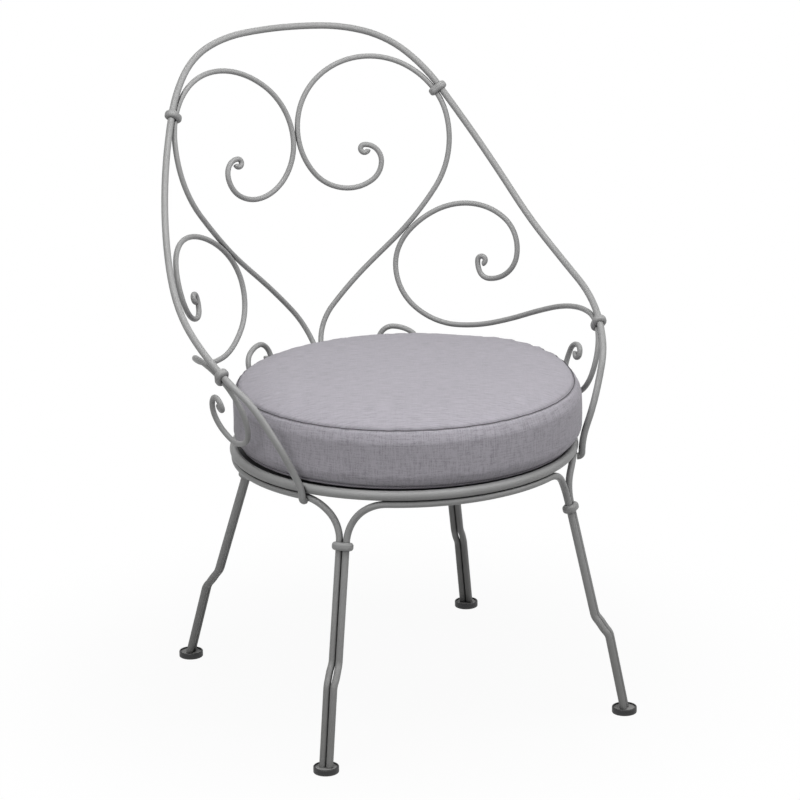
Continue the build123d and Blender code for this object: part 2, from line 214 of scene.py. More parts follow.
class FrameLooks(bpy.types.PropertyGroup):
    """Colours and grain of the painted rods and the feet."""

    paint: FloatVectorProperty(
        name="Paint", description="Mid grey of the powder coat", subtype="COLOR",
        size=3, min=0.0, max=1.0, default=(0.300, 0.301, 0.299),
    )
    # Also painted light: this lighter grey goes on the tops that face up, beside the rubbed scuffs
    paint_worn_and_lit: FloatVectorProperty(
        name="Rubbed paint", description="Lighter grey where hands and weather rub", subtype="COLOR",
        size=3, min=0.0, max=1.0, default=(0.420, 0.420, 0.418),
    )
    # Painted shade: the pan's charcoal stands for the shade under the cushion, and it also darkens the
    # cracks between rods
    pan: FloatVectorProperty(
        name="Pan", description="Charcoal of the hidden seat pan", subtype="COLOR",
        size=3, min=0.0, max=1.0, default=(0.045, 0.045, 0.046),
    )
    grain: FloatProperty(
        name="Grain", description="Size of the grains in the textured paint", unit="LENGTH",
        default=0.0009, min=0.0001, max=0.01,
    )
    bead: FloatProperty(
        name="Bead", description="Size of the coarser beads of paint that catch the light", unit="LENGTH",
        default=0.0024, min=0.0005, max=0.02,
    )
    # Painted shade: the paint is darkened in the cracks between two rods, where shade falls
    crevice_shade: FloatProperty(
        name="Crevice", description="How wide the grime in a crack between two rods is", unit="LENGTH",
        default=0.006, min=0.0005, max=0.05,
    )
    # Partly painted shade: the paint darkens towards the floor, where less light reaches, beside some dust
    dust_and_shade: FloatVectorProperty(
        name="Dust", description="Dull grey of the paint towards the floor", subtype="COLOR",
        size=3, min=0.0, max=1.0, default=(0.175, 0.173, 0.168),
    )
    glide: FloatVectorProperty(
        name="Glide", description="Black of the moulded glides", subtype="COLOR",
        size=3, min=0.0, max=1.0, default=(0.017, 0.017, 0.018),
    )
    glide_worn: FloatVectorProperty(
        name="Worn glide", description="Grey of the glides where the floor scrapes them", subtype="COLOR",
        size=3, min=0.0, max=1.0, default=(0.13, 0.13, 0.125),
    )
    zip_metal: FloatVectorProperty(
        name="Zip metal", description="Grey of the painted zip slider", subtype="COLOR",
        size=3, min=0.0, max=1.0, default=(0.20, 0.20, 0.21),
    )
    zip_bare: FloatVectorProperty(
        name="Bare metal", description="Metal where the zip slider's paint is rubbed off", subtype="COLOR",
        size=3, min=0.0, max=1.0, default=(0.50, 0.49, 0.47),
    )


class CushionLooks(bpy.types.PropertyGroup):
    """Form and cloth of the cushion."""

    yarn: FloatVectorProperty(
        name="Yarn", description="Grey lilac of the heather cloth", subtype="COLOR",
        size=3, min=0.0, max=1.0, default=(0.436, 0.416, 0.460),
    )
    yarn_dark: FloatVectorProperty(
        name="Dark yarn", description="The darker of the two yarns", subtype="COLOR",
        size=3, min=0.0, max=1.0, default=(0.235, 0.225, 0.250),
    )
    thread: FloatVectorProperty(
        name="Seam thread", description="Shade of the sewn top seam", subtype="COLOR",
        size=3, min=0.0, max=1.0, default=(0.120, 0.114, 0.126),
    )
    zip_tape: FloatVectorProperty(
        name="Zip tape", description="Shade of the zip tape", subtype="COLOR",
        size=3, min=0.0, max=1.0, default=(0.22, 0.21, 0.235),
    )
    pitch: FloatProperty(
        name="Thread pitch", description="Distance between two threads of the weave", unit="LENGTH",
        default=0.0011, min=0.0003, max=0.01,
    )
    shoulder: FloatProperty(
        name="Shoulder", description="How far the top panel puffs up just inside its seam", unit="LENGTH",
        default=0.0105, min=0.0, max=0.02,
    )
    roll: FloatProperty(
        name="Roll", description="How squarely the band turns in to the top seam, 2 for a round side",
        default=3.0, min=2.0, max=8.0,
    )
    tuck: FloatProperty(
        name="Tuck", description="How squarely the band turns in to the welt, 2 for a round side",
        default=6.0, min=2.0, max=8.0,
    )
    lip: FloatProperty(
        name="Lip", description="How far the band rolls in just under the top seam", unit="LENGTH",
        default=0.0020, min=0.0, max=0.01,
    )
    fullness: FloatProperty(
        name="Fullness", description="How far the filling lifts the edge at the back to the right",
        unit="LENGTH", default=0.0060, min=0.0, max=0.02,
    )
    seam_dip: FloatProperty(
        name="Seam dip", description="How deep the top seam lies between its panels", unit="LENGTH",
        default=0.0022, min=0.0, max=0.01,
    )
    pucker: FloatProperty(
        name="Pucker", description="Depth of the gathers along the back of the top seam", unit="LENGTH",
        default=0.0032, min=0.0, max=0.01,
    )
    slack: FloatProperty(
        name="Slack", description="How far the pressed cloth may move from its cut shape", unit="LENGTH",
        default=0.006, min=0.0, max=0.03,
    )
    segments: IntProperty(
        name="Segments", description="Steps round the cushion", default=320, min=64, max=1024,
    )


class StageLooks(bpy.types.PropertyGroup):
    """Floor, lamps and camera."""

    floor: FloatVectorProperty(
        name="Floor", description="Pale floor", subtype="COLOR",
        size=3, min=0.0, max=1.0, default=(0.50, 0.50, 0.50),
    )
    shadow: FloatProperty(
        name="Shadow", description="How much of the chair's shadow shows on the floor",
        subtype="FACTOR", default=0.05, min=0.0, max=1.0,
    )
    ambient: FloatProperty(
        name="Ambient", description="Light from all around, beside the lamps",
        subtype="FACTOR", default=0.09, min=0.0, max=1.0,
    )
    lens: FloatProperty(
        name="Lens", description="Focal length on a 36 mm sensor", default=146.7, min=20.0, max=400.0,
    )
    distance: FloatProperty(
        name="Distance", description="From the camera to the point it looks at", unit="LENGTH",
        default=4.695, min=1.0, max=20.0,
    )
    azimuth: FloatProperty(
        name="Azimuth", description="Camera's turn round the chair", subtype="ANGLE",
        default=math.radians(-25.30), min=-math.pi, max=math.pi,
    )
    elevation: FloatProperty(
        name="Elevation", description="Camera's height above the horizon", subtype="ANGLE",
        default=math.radians(16.56), min=-1.5, max=1.5,
    )
    roll: FloatProperty(
        name="Roll", description="Camera's roll", subtype="ANGLE",
        default=math.radians(-0.94), min=-0.5, max=0.5,
    )
    target: FloatVectorProperty(
        name="Target", description="Point in the middle of the picture", subtype="TRANSLATION",
        size=3, default=(-0.0060, -0.0827, 0.4460),
    )


class Signal:
    """One output of a shader node that takes part in Python arithmetic."""

    def __init__(self, graph, node, output=0):
        self.graph = graph
        self.node = node
        self.socket = node.outputs[output]

    def out(self, name):
        return Signal(self.graph, self.node, name)

    def math(self, operation, *values, clamp=False):
        settings = {"operation": operation, "use_clamp": clamp}
        return self.graph.node("ShaderNodeMath", settings, dict(enumerate(values)))

    def __add__(self, other):
        return self.math("ADD", self, other)

    __radd__ = __add__

    def __sub__(self, other):
        return self.math("SUBTRACT", self, other)

    def __rsub__(self, other):
        return self.math("SUBTRACT", other, self)

    def __mul__(self, other):
        return self.math("MULTIPLY", self, other)

    __rmul__ = __mul__

    def sine(self):
        return self.math("SINE", self)

    def clamped(self):
        """Kept between 0 and 1."""
        return self.math("MULTIPLY", self, 1.0, clamp=True)

    def step(self, low, high):
        """0 below low, 1 above high and smooth between them."""
        settings = {"interpolation_type": "SMOOTHSTEP", "clamp": True}
        return self.graph.node("ShaderNodeMapRange", settings, {"Value": self, 1: low, 2: high})


class Graph:
    """A node tree, with the nodes that the finishes share."""

    def __init__(self, tree):
        self.tree = tree
        self.tree.nodes.clear()

    def node(self, kind, settings=None, inputs=None, output=0):
        """Adds a node, sets it up, and fills its sockets with values or links."""
        made = self.tree.nodes.new(kind)
        for name, value in (settings or {}).items():
            setattr(made, name, value)
        for key, value in (inputs or {}).items():
            if isinstance(value, Signal):
                self.tree.links.new(value.socket, made.inputs[key])
            else:
                made.inputs[key].default_value = value
        return Signal(self, made, output)

    def end(self, kind, shader):
        """Ends the tree with a shader."""
        self.tree.links.new(shader.socket, self.tree.nodes.new(kind).inputs["Surface"])

    def place(self):
        return self.node("ShaderNodeTexCoord", output="Object")

    def split(self, vector):
        parts = self.node("ShaderNodeSeparateXYZ", None, {0: vector})
        return parts.out("X"), parts.out("Y"), parts.out("Z")

    def join(self, x, y, z):
        return self.node("ShaderNodeCombineXYZ", None, {0: x, 1: y, 2: z})

    def noise(self, vector, scale, detail=2.0, rough=0.5):
        inputs = {"Vector": vector, "Scale": scale, "Detail": detail, "Roughness": rough}
        return self.node("ShaderNodeTexNoise", {"noise_dimensions": "3D"}, inputs, "Fac")

    def mix(self, factor, first, second):
        """Mixes two colours."""
        inputs = {0: factor, 6: self.colour(first), 7: self.colour(second)}
        return self.node("ShaderNodeMix", {"data_type": "RGBA"}, inputs, 2)

    def colour(self, value):
        return value if isinstance(value, Signal) else (*value[:3], 1.0)

    def bump(self, height, strength, distance, normal=None):
        inputs = {"Height": height, "Strength": strength, "Distance": distance}
        if normal:
            inputs["Normal"] = normal
        return self.node("ShaderNodeBump", None, inputs)

    def seen_rays(self):
        """1 for rays from the camera, and for those that a gloss or glass sends on."""
        rays = self.node("ShaderNodeLightPath", output="Is Camera Ray")
        seen = rays.math("MAXIMUM", rays, rays.out("Is Glossy Ray"))
        return seen.math("MAXIMUM", seen, rays.out("Is Transmission Ray"))


class Finish(Graph):
    """A material built from nodes."""

    def __init__(self, name):
        self.material = bpy.data.materials.new(name)
        self.material.use_nodes = True
        super().__init__(self.material.node_tree)

    def close(self, shader):
        """Ends the material with a shader."""
        self.end("ShaderNodeOutputMaterial", shader)
        return self.material

    def surface(self, **sockets):
        """Ends the material with a principled shader."""
        names = {name.replace("_", " "): value for name, value in sockets.items()}
        return self.close(self.node("ShaderNodeBsdfPrincipled", None, names))


def tinted(colour, share):
    """A lighter or darker shade of a colour."""
    return tuple(share * part for part in colour)


def powder_coat(name, looks, colour, wear_and_top_light):
    """Textured paint whose beads catch the light, lighter where it is rubbed and, as painted light, on
    tops that face up; darker towards the floor with dust and painted shade; painted shade in the cracks
    between rods.
    """
    finish = Finish(name)
    place = finish.place()
    height = finish.split(place)[2]
    facing = finish.split(finish.node("ShaderNodeNewGeometry", output="Normal"))[2]
    grains = finish.noise(place, 1 / looks.grain, 2.0, 0.6)
    beads = finish.noise(place, 1 / looks.bead, 2.0, 0.55)
    cloud = finish.noise(place, CLOUD_SCALE, 3.0)
    scuffs = finish.noise(place, SCUFF_SCALE, 4.0, 0.65).step(0.60, 0.74)
    # Painted light: the paint is lighter on tops that face up; the scuffs are real wear
    rubbed_and_lit_top = facing.step(0.2, 1.0) * (0.35 + 0.4 * cloud) * wear_and_top_light + scuffs * (0.35 * wear_and_top_light)
    # Dust and painted shade: the paint darkens and dulls towards the floor
    dust_and_shade = (1.0 - height.step(0.0, DUST_AND_SHADE_BELOW)) * (0.1 + 0.6 * cloud + 0.6 * grains)
    coarse = 1.0 - 0.6 * height.step(COARSE_BELOW, SMOOTH_ABOVE)
    speckle = coarse * (0.5 * (beads - 0.5) + 0.5 * (grains - 0.5))
    blend = 0.5 + speckle + 0.5 * (cloud - 0.5)
    tone = finish.mix(blend.clamped(), tinted(colour, 0.72), tinted(colour, 1.28))
    tone = finish.mix(rubbed_and_lit_top, tone, looks.paint_worn_and_lit)
    tone = finish.mix(dust_and_shade, tone, looks.dust_and_shade)
    # Painted shade: where other rods close in, the paint turns to the pan's charcoal
    reach = {"Distance": looks.crevice_shade}
    open_air = finish.node("ShaderNodeAmbientOcclusion", {"samples": 8}, reach, "AO")
    tone = finish.mix(open_air.step(0.30, 0.85), looks.pan, tone)
    rough = 0.40 + 0.12 * beads + 0.08 * cloud - 0.05 * rubbed_and_lit_top + 0.10 * dust_and_shade
    fine = finish.bump(grains * coarse, 0.20, 0.00018)
    relief = finish.bump(beads * coarse, 0.10, 0.00030, fine)
    return finish.surface(Base_Color=tone, Roughness=rough, Normal=relief)


def moulded_black(name, looks):
    """Black moulded plastic, grey and scratched towards the floor."""
    finish = Finish(name)
    place = finish.place()
    x, y, height = finish.split(place)
    grain = finish.noise(place, 900.0, 2.0)
    patch = finish.noise(place, 120.0, 3.0)
    scratch = finish.noise(finish.join(x * 500.0, y * 90.0, height * 900.0), 1.0, 2.0).step(0.58, 0.72)
    worn = (1.0 - height.step(0.0, SCRAPED_BELOW)) * patch + 0.25 * scratch * patch
    tone = finish.mix(worn * 0.8, looks.glide, looks.glide_worn)
    tone = finish.mix(0.3 * grain.step(0.5, 0.8), tone, tinted(looks.glide, 2.2))
    rough = 0.42 + 0.2 * patch + 0.2 * worn
    return finish.surface(Base_Color=tone, Roughness=rough, Normal=finish.bump(grain, 0.3, 0.0002))


def slider_metal(name, looks):
    """Zip slider: grey lacquer rubbed to metal in places."""
    finish = Finish(name)
    place = finish.place()
    grain = finish.noise(place, 1500.0, 2.0)
    rub = finish.noise(place, 320.0, 3.0).step(0.52, 0.68)
    tone = finish.mix(rub, looks.zip_metal, looks.zip_bare)
    return finish.surface(
        Base_Color=tone, Metallic=0.35 + 0.6 * rub, Roughness=0.45 - 0.15 * rub + 0.1 * grain,
        Normal=finish.bump(grain, 0.2, 0.0001),
    )


def wrapped(finish):
    """Place on the cushion, in metres: the way round it, its height, and its distances from the axis."""
    x, y, z = finish.split(finish.place())
    east = x - AXIS.x
    north = y - AXIS.y
    round_way = east.math("ARCTAN2", east, north) * BULGE_RADIUS
    return round_way, z, east, north


def threads(finish, along, across, scale, detail=2.0, rough=0.6):
    """Noise that is drawn out along the threads of a cloth."""
    place = finish.join(along * scale[0], across * scale[1], scale[2])
    return finish.noise(place, 1.0, detail, rough)


def heather(name, looks, kind):
    """Plain weave of two yarns. The slubs run along the threads of each panel."""
    finish = Finish(name)
    round_way, z, east, north = wrapped(finish)
    if kind == "flat":
        along = east * math.cos(WEAVE_TURN) + north * math.sin(WEAVE_TURN)
        across = north * math.cos(WEAVE_TURN) - east * math.sin(WEAVE_TURN)
    else:
        along, across = round_way, z
    step = math.pi / looks.pitch
    weave = (along * step).sine() * (across * step).sine()
    weft = threads(finish, along, across, WEFT)
    warp = threads(finish, along, across, WARP)
    fleck = threads(finish, along, across, FLECK)
    fading = threads(finish, along, across, FADING, rough=0.5)
    shares, spread, level = SLUBS[kind]
    slub = shares[0] * weft + shares[1] * warp + shares[2] * fleck
    mixed = level + spread * (slub - 0.5) + 0.10 * weave + 0.18 * (fading - 0.5)
    tone = finish.mix(mixed.clamped(), looks.yarn, looks.yarn_dark)
    return finish.surface(
        Base_Color=tone, Roughness=0.86 + 0.1 * fleck, Sheen_Weight=0.15, Sheen_Roughness=0.5,
        Normal=finish.bump(weave * 0.5 + 0.8 * slub, 0.35, 0.0004),
    )


def cord_cloth(name, colour, dark, pitch):
    """A narrow strip of the cloth, or thread, with its twist."""
    finish = Finish(name)
    round_way, z = wrapped(finish)[:2]
    twist = ((round_way + 1.5 * z) * (2 * math.pi / pitch)).sine()
    fleck = threads(finish, round_way, z, CORD_FLECK, detail=3.0)
    tone = finish.mix(0.25 + 0.35 * fleck + 0.25 * twist, colour, dark)
    relief = finish.bump(twist + fleck, 0.4, 0.0003)
    return finish.surface(Base_Color=tone, Roughness=0.82 + 0.1 * fleck, Normal=relief, Sheen_Weight=0.1)


def paint(node, material):
    """Gives a solid of the frame its finish."""
    node.data.materials.clear()
    node.data.materials.append(material)


def mesh_piece(name, mesh, body, material):
    """Puts a finished mesh on a body of the chair."""
    piece = bpy.data.objects.new(name, mesh)
    bpy.context.scene.collection.objects.link(piece)
    mesh.materials.append(material)
    mesh.shade_smooth()
    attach(piece, body)
    return piece


def closed_mesh(name, points, faces):
    """A mesh from points and faces, with its normals outwards."""
    mesh = bpy.data.meshes.new(name)
    mesh.from_pydata([tuple(p) for p in points], [], faces)
    work = bmesh.new()
    work.from_mesh(mesh)
    bmesh.ops.recalc_face_normals(work, faces=work.faces)
    work.to_mesh(mesh)
    work.free()
    mesh.update()
    return mesh


def bridged(rings, count, start=0, closed=False):
    """Faces that join rings of points in a row. The row goes round, or has its ends closed."""
    faces = []
    for ring in range(rings if closed else rings - 1):
        a = start + ring * count
        b = start + (ring + 1) % rings * count
        for i in range(count):
            j = (i + 1) % count
            faces.append((a + i, a + j, b + j, b + i))
    if not closed:
        last = start + (rings - 1) * count
        faces.append(tuple(range(start, start + count)))
        faces.append(tuple(range(last, last + count)))
    return faces


def add_block(points, faces, rings):
    """Adds a closed block, given by its rings of points, to a mesh in the making."""
    faces.extend(bridged(len(rings), len(rings[0]), len(points)))
    points.extend(point for ring in rings for point in ring)


def full_turn(count):
    return np.linspace(0, 2 * math.pi, count, endpoint=False)


def spot(radius, angle, height):
    """Place round the cushion's axis. The angle runs from the back towards the right."""
    return AXIS.x + radius * np.sin(angle), AXIS.y + radius * np.cos(angle), height


def spots(radius, angle, height):
    """Places round the cushion's axis, one for each angle."""
    return np.stack(np.broadcast_arrays(*spot(radius, angle, height)), 1)


def polar(points):
    """Radius and angle of points round the cushion's axis."""
    east = points[:, 0] - AXIS.x
    north = points[:, 1] - AXIS.y
    return np.maximum(np.hypot(east, north), 1e-6), np.arctan2(east, north)


def drawn(points, ratio):
    """Draws points towards the cushion's axis, or away from it."""
    moved = np.array(points)
    moved[:, 0] = AXIS.x + (points[:, 0] - AXIS.x) * ratio
    moved[:, 1] = AXIS.y + (points[:, 1] - AXIS.y) * ratio
    return moved


def eased(value):
    """0 below 0, 1 above 1 and smooth between them."""
    value = np.clip(value, 0.0, 1.0)
    return value * value * (3 - 2 * value)


def bell(distance, width):
    return np.exp(-((distance / width) ** 2))


def window(angle, start, rise, stop, fall):
    """1 between two angles, and 0 away from them."""
    return eased((angle - start) / rise) * eased((stop - angle) / fall)


def crown_height(radius, shoulder):
    """Height of the top panel above its seam."""
    inside = np.maximum(SEAM_RADIUS - radius, 0.0)
    rise = CROWN_LEVEL - SEAM_LEVEL
    puff = shoulder * (1 - np.exp(-inside / SHOULDER_RUN))
    return puff + (rise - shoulder) * (1 - (radius / SEAM_RADIUS) ** 2)


def band_radius(height, looks):
    """Radius of the band between the welt and the seam, fullest in the middle."""
    middle = (CREASE_LEVEL + SEAM_LEVEL) / 2
    share = np.clip((height - middle) / (SEAM_LEVEL - middle), -1.0, 1.0)
    lip = looks.lip * np.exp((height - SEAM_LEVEL) / LIP_RUN)
    upper = (BULGE_RADIUS - SEAM_RADIUS - looks.lip) * np.maximum(share, 0.0) ** looks.roll
    lower = (BULGE_RADIUS - CREASE_RADIUS) * np.maximum(-share, 0.0) ** looks.tuck
    return BULGE_RADIUS - lip - upper - lower


def profile(looks, steps):
    """Section of the cover from the middle of its base to the middle of its top: radius, height, panel."""
    turn_radius = WELT_RADIUS - BASE_TURN
    turn_run = BASE_TURN - WELT_TUCK
    rows = []
    for radius in np.linspace(HUB_RADIUS, turn_radius, steps["base"]):
        rows.append((radius, BASE_LEVEL, BASE_PANEL))
    for share in np.linspace(0.0, 1.0, steps["turn"])[1:]:
        height = BASE_LEVEL + (WELT_LEVEL - BASE_LEVEL) * share ** 2
        rows.append((turn_radius + turn_run * share, height, BASE_PANEL))
    for share in np.arange(steps["band"]) / steps["band"]:
        height = CREASE_LEVEL + (SEAM_LEVEL - CREASE_LEVEL) * (0.7 * eased(share) + 0.3 * share)
        rows.append((band_radius(height, looks), height, BAND_PANEL))
    rows.append((SEAM_RADIUS, SEAM_LEVEL, TOP_PANEL))
    inner = np.concatenate([
        SEAM_RADIUS - np.geomspace(EDGE_STEP, EDGE_WIDTH, steps["edge"]),
        np.linspace(SEAM_RADIUS - EDGE_WIDTH, HUB_RADIUS, steps["crown"])[1:],
    ])
    for radius in inner:
        rows.append((radius, SEAM_LEVEL + crown_height(radius, looks.shoulder), TOP_PANEL))
    return rows


def turned(rows, segments):
    """Points and faces of a section that is turned round the cushion's axis."""
    angle = full_turn(segments)
    points = np.concatenate([spots(radius, angle, height) for radius, height, _ in rows])
    return points, bridged(len(rows), segments)


def press_cloth(looks):
    """Blows up a coarse copy of the cover, sewn fast at its seams: its points, their pushes, its faces."""
    points, faces = turned(profile(looks, PRESSED), PRESS_SEGMENTS)
    mesh = closed_mesh("cushion_press", points, faces)
    press = bpy.data.objects.new("cushion_press", mesh)
    bpy.context.scene.collection.objects.link(press)
    bpy.context.view_layer.objects.active = press
    mesh.remesh_voxel_size = PRESS_VOXEL
    bpy.ops.object.select_all(action="DESELECT")
    press.select_set(True)
    bpy.ops.object.voxel_remesh()
    rest = np.array([v.co for v in press.data.vertices])
    radius, _ = polar(rest)
    near_seam = np.hypot(radius - SEAM_RADIUS, rest[:, 2] - SEAM_LEVEL)
    near_welt = np.hypot(radius - WELT_RADIUS, rest[:, 2] - WELT_LEVEL)
    held = 1 - eased((np.minimum(near_seam, near_welt) - SEWN_WIDTH) / SEWN_FADE)
    held = np.maximum(held, rest[:, 2] < BASE_LEVEL + SEWN_WIDTH)
    pins = press.vertex_groups.new(name="sewn")
    for index, weight in enumerate(held):
        if weight > 0.001:
            pins.add([index], float(weight), "REPLACE")
    cloth = press.modifiers.new("Cloth", "CLOTH")
    cloth.settings.vertex_group_mass = "sewn"
    cloth.settings.use_pressure = True
    cloth.settings.uniform_pressure_force = 4.0
    cloth.settings.effector_weights.gravity = 0.0
    cloth.settings.quality = 6
    cloth.settings.shrink_min = -0.006
    cloth.settings.bending_stiffness = 0.4
    cloth.point_cache.frame_start = 1
    cloth.point_cache.frame_end = PRESS_FRAMES
    for step in range(1, PRESS_FRAMES + 1):
        bpy.context.scene.frame_set(step)
    depsgraph = bpy.context.evaluated_depsgraph_get()
    pressed = press.evaluated_get(depsgraph).to_mesh()
    moved = np.array([v.co for v in pressed.vertices])
    faces = [tuple(p.vertices) for p in press.data.polygons]
    bpy.context.scene.frame_set(1)
    bpy.data.objects.remove(press)
    push = moved - rest
    length = np.linalg.norm(push, axis=1, keepdims=True)
    push = push * np.tanh(length / looks.slack) * looks.slack / np.maximum(length, 1e-9)
    return rest, push, faces


def carried(points, rest, push, faces):
    """Moves points with the nearest place of the pressed cloth."""
    triangles = [(f[0], f[i], f[i + 1]) for f in faces for i in range(1, len(f) - 1)]
    tree = BVHTree.FromPolygons([tuple(p) for p in rest], triangles)
    moved = np.array(points)
    for index, point in enumerate(points):
        place, _, face, _ = tree.find_nearest(Vector(point))
        corners = triangles[face]
        a, b, c = (rest[i] for i in corners)
        normal = np.cross(b - a, c - a)
        area = max(float(normal @ normal), 1e-18)
        here = np.array(place)
        first = float(np.cross(b - here, c - here) @ normal) / area
        second = float(np.cross(c - here, a - here) @ normal) / area
        shares = (first, second, 1 - first - second)
        moved[index] = point + sum(share * push[i] for share, i in zip(shares, corners))
    return moved


def gathers(angle, looks):
    """Lift of the top seam where the cloth is gathered, mostly at the back to the right."""
    depth = GATHER_REST + (1 - GATHER_REST) * window(angle, *GATHERED)
    wave = np.sin(angle * 44.0 + 1.4 * np.sin(angle * 5.0)) + 0.5 * np.sin(angle * 71.0 + 0.7)
    return looks.pucker * depth * wave / 1.5


def fullness(angle, looks):
    """Lift of the edge at the back to the right, where the filling is fullest."""
    return looks.fullness * window(angle, *FULLEST)


def lean(points):
    """The side of the loose cushion sags over to the right and front, and its zip stays where it is."""
    share = np.clip((points[:, 2] - WELT_LEVEL) / (SEAM_LEVEL - WELT_LEVEL), 0.0, 1.1)
    _, angle = polar(points)
    shift = LEAN_FOOT + LEAN_RISE * share - LEAN_RETURN * share ** 2
    shift *= eased((np.abs(angle) - ZIP_HALF) / ZIP_HALF)
    return points + shift[:, None] * LEAN_WAY


def clear_of_feet(points):
    """Draws the foot of the band in at the back, where the heart scrolls stand on the ring."""
    radius, angle = polar(points)
    limit = FOOT_RADIUS + FOOT_SLOPE * np.maximum(points[:, 2] - FOOT_LEVEL, 0.0)
    near = eased((FOOT_HALF - np.abs(angle)) / FOOT_FADE)
    return drawn(points, 1 - near * np.maximum(radius - limit, 0.0) / radius)


def seam_line(looks, angle):
    """Middle of the top seam, with its gathers."""
    wave = gathers(angle, looks)
    radius = SEAM_RADIUS - THREAD_IN * looks.seam_dip + GATHER_OUT * wave
    return lean(spots(radius, angle, SEAM_LEVEL + THREAD_LIFT * wave + fullness(angle, looks)))


def tube(name, path, thickness, sides, flat=1.0):
    """A closed tube along a ring of points, flattened to a share of its height."""
    out = path - path.mean(0)
    out[:, 2] = 0.0
    out /= np.linalg.norm(out, axis=1, keepdims=True)
    up = np.array((0.0, 0.0, flat))
    turn = full_turn(sides)[:, None]
    points = path[:, None] + thickness * (out[:, None] * np.cos(turn) + up * np.sin(turn))
    return closed_mesh(name, points.reshape(-1, 3), bridged(len(path), sides, closed=True))


class ARMCHAIR_OT_frame(bpy.types.Operator):
    """Paints the rods, the ring, the collars and the pan, whose charcoal is painted shade"""

    bl_idname = "armchair.frame"
    bl_label = "Painted frame"

    def execute(self, context):
        looks = context.scene.armchair_frame
        coat = powder_coat("powder_coat", looks, looks.paint, wear_and_top_light=0.55)
        # Painted shade: the pan is charcoal to stand for the shade under the cushion
        pan = powder_coat("powder_coat_pan_shade", looks, looks.pan, wear_and_top_light=0.04)
        for name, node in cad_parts.items():
            if name.startswith(PAINTED):
                paint(node, coat)
        paint(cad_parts["seat_pan"], pan)
        return {"FINISHED"}


class ARMCHAIR_OT_feet(bpy.types.Operator):
    """Finishes the four feet: painted plates in black moulded glides"""

    bl_idname = "armchair.feet"
    bl_label = "Feet"

    def execute(self, context):
        looks = context.scene.armchair_frame
        plate = powder_coat("powder_coat_foot", looks, looks.paint, wear_and_top_light=0.6)
        glide = moulded_black("glide_black", looks)
        for corner in CORNERS:
            paint(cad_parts["foot_plate_" + corner], plate)
            paint(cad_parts["glide_" + corner], glide)
        return {"FINISHED"}


class ARMCHAIR_OT_cushion(bpy.types.Operator):
    """Sews the cushion's cover: crowned top, full band and flat base"""

    bl_idname = "armchair.cushion"
    bl_label = "Cushion cover"

    def execute(self, context):
        looks = context.scene.armchair_cushion
        segments = looks.segments
        rows = profile(looks, SHOWN)
        points, faces = turned(rows, segments)
        panels = [panel for _, _, panel in rows[:-1] for _ in range(segments)]
        panels += [BASE_PANEL, TOP_PANEL]
        points = self.filled(points, carried(points, *press_cloth(looks)))
        points = self.sewn(points, looks)
        points = clear_of_feet(lean(points))
        mesh = closed_mesh("cushion_cover", points, faces)
        top = heather("heather_top", looks, "flat")
        cover = mesh_piece("cushion_cover", mesh, "cushion", top)
        mesh.materials.append(heather("heather_band", looks, "band"))
        for polygon, panel in zip(mesh.polygons, panels):
            polygon.material_index = 1 if panel == BAND_PANEL else 0
        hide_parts("cushion_foam", "cushion_top_panel", "cushion_band", "cushion_base_panel")
        return {"FINISHED"}

    def filled(self, points, moved):
        """Keeps the pressed cover in the room that the cushion has."""
        radius, _ = polar(moved)
        limit = BULGE_RADIUS + np.where(points[:, 2] < SEAM_LEVEL - BAND_BELOW, BAND_ROOM, TOP_ROOM)
        moved = drawn(moved, np.minimum(1.0, limit / radius))
        moved[:, 2] = np.maximum(moved[:, 2], BASE_LEVEL)
        return moved

    def sewn(self, points, looks):
        """Draws the panels in at the top seam and gathers the cloth along it."""
        radius, angle = polar(points)
        angle = angle % (2 * math.pi)
        level = points[:, 2] - SEAM_LEVEL
        apart = np.hypot(radius - SEAM_RADIUS, level)
        dip = looks.seam_dip * bell(apart, DIP_WIDTH)
        wave = gathers(angle, looks) * bell(apart, GATHER_WIDTH)
        moved = drawn(points, 1 + (GATHER_OUT * wave - PANEL_IN * dip) / radius)
        moved[:, 2] += PANEL_LIFT * wave - PANEL_DOWN * dip * (level > DIP_LOWEST)
        lift = fullness(angle, looks) * bell(radius - SEAM_RADIUS, FULL_WIDTH)
        moved[:, 2] += lift * eased(1 + level / FULL_DEPTH)
        return moved


class ARMCHAIR_OT_edges(bpy.types.Operator):
    """Lays the top seam's thread and the welt cord along the edges of the cover"""

    bl_idname = "armchair.edges"
    bl_label = "Seam and welt"

    def execute(self, context):
        looks = context.scene.armchair_cushion
        angle = full_turn(2 * looks.segments)
        line = seam_line(looks, angle)
        mesh = tube("cushion_seam", line, THREAD_SIZE * SEAM_CORD, THREAD_SIDES, THREAD_FLAT)
        thread = cord_cloth("seam_thread", looks.thread, tinted(looks.thread, 0.6), THREAD_TWIST)
        seam = mesh_piece("cushion_seam", mesh, "cushion", thread)
        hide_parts("cushion_top_seam")
        swell = 1 + 0.0006 * np.sin(angle * 47) + 0.0004 * np.sin(angle * 83 + 1.0)
        ring = spots(WELT_RADIUS * swell, angle, WELT_LEVEL)
        mesh = tube("cushion_welt", ring, WELT_SIZE * WELT_CORD, WELT_SIDES)
        cloth = cord_cloth("welt_cloth", looks.yarn, looks.yarn_dark, WELT_TWIST)
        welt = mesh_piece("cushion_welt", mesh, "cushion", cloth)
        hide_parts("cushion_base_welt")
        return {"FINISHED"}


